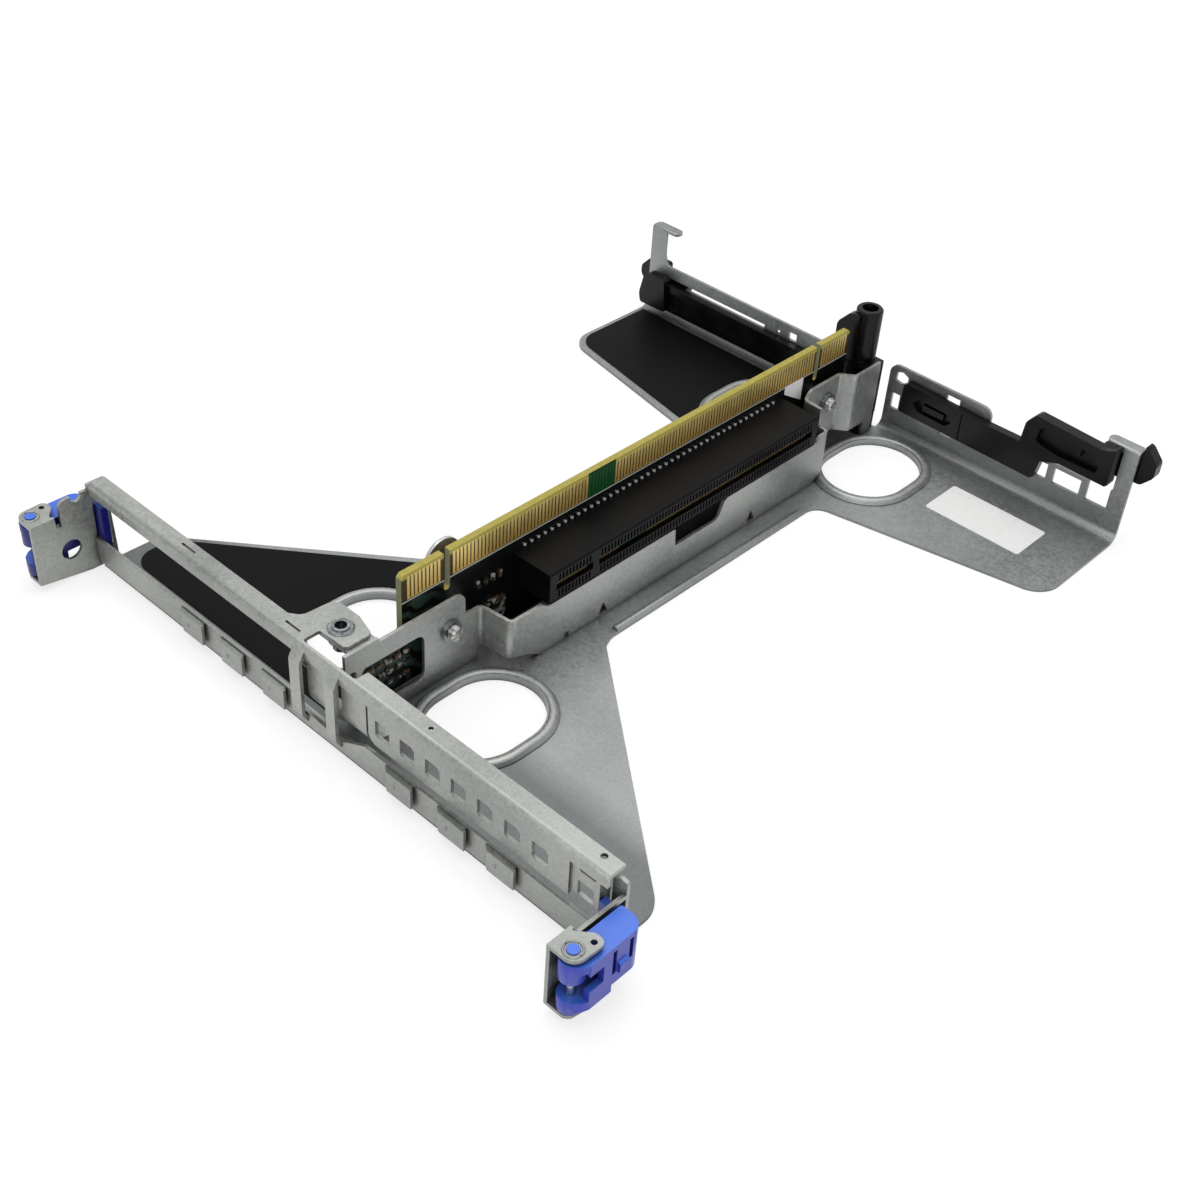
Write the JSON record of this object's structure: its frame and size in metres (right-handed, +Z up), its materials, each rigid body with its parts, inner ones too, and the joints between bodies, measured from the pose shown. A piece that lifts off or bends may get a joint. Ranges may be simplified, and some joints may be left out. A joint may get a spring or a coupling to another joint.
{
  "type": "riser card",
  "caption": "Low-profile two-slot riser card in a folded steel cage, with a card bracket frame, hinged blue latches, sliding card retainers, and an edge-finger board.",
  "frame": {"origin": "under the middle of the whole cage's bounding box, at the base plate's underside", "axes": "+X along the card bracket frame to the side the blanked slot is on, +Y along the riser board away from the bracket frame, +Z up from the base plate to the edge fingers"},
  "size_m": [0.1664, 0.1951, 0.0331],
  "materials": {
    "galvanised_sheet": "galvanised cold-rolled steel sheet, folded",
    "film": "black polyester insulating film",
    "black_plastic": "moulded glass-filled nylon",
    "connector_plastic": "moulded high-temperature nylon",
    "blue_plastic": "moulded blue acetal",
    "pin_steel": "turned steel pin",
    "laminate": "glass-epoxy board with solder mask",
    "gold": "gold plating on copper",
    "contact_alloy": "plated copper alloy spring",
    "solder": "solder-coated lead",
    "components": "ceramic and moulded surface parts",
    "nickel": "nickel-plated steel",
    "label_paper": "coated paper label"
  },
  "bodies": {
    "cage": {"base_plate": "galvanised_sheet", "front_left_film": "film", "rear_left_film": "film", "slot_wall": "galvanised_sheet", "wall_rivets": "nickel", "io_frame": "galvanised_sheet", "frame_rivets": "nickel", "slot_blank": "galvanised_sheet", "riser_board": "laminate", "right_edge_fingers": "gold", "left_edge_fingers": "gold", "right_connector": "connector_plastic", "left_connector": "connector_plastic", "right_connector_contacts": "contact_alloy", "left_connector_contacts": "contact_alloy", "right_solder_pins": "solder", "left_solder_pins": "solder", "board_components": "components", "board_screws": "nickel", "board_standoffs": "nickel", "rivet_nut": "nickel", "guide_post": "black_plastic", "left_stay": "galvanised_sheet", "part_label": "label_paper", "board_label": "label_paper"},
    "right_latch_body": {"right_latch": "blue_plastic", "right_latch_pin": "pin_steel"},
    "left_latch_body": {"left_latch": "blue_plastic", "left_latch_pin": "pin_steel"},
    "right_retainer_body": {"right_retainer": "black_plastic"},
    "left_retainer_body": {"left_retainer": "black_plastic"}
  },
  "joints": [
    {"name": "right_latch_hinge", "type": "hinge", "parent": "cage", "child": "right_latch_body", "pos_m": [0.079, -0.0952, 0.0078], "axis": [0, 0, -1], "range_deg": [0, 75]},
    {"name": "left_latch_hinge", "type": "hinge", "parent": "cage", "child": "left_latch_body", "pos_m": [-0.079, -0.0952, 0.0078], "axis": [0, 0, 1], "range_deg": [0, 75]},
    {"name": "right_retainer_slide", "type": "slide", "parent": "cage", "child": "right_retainer_body", "axis": [1, 0, 0], "range_m": [0, 0.003]},
    {"name": "left_retainer_slide", "type": "slide", "parent": "cage", "child": "left_retainer_body", "axis": [-1, 0, 0], "range_m": [0, 0.003]}
  ]
}
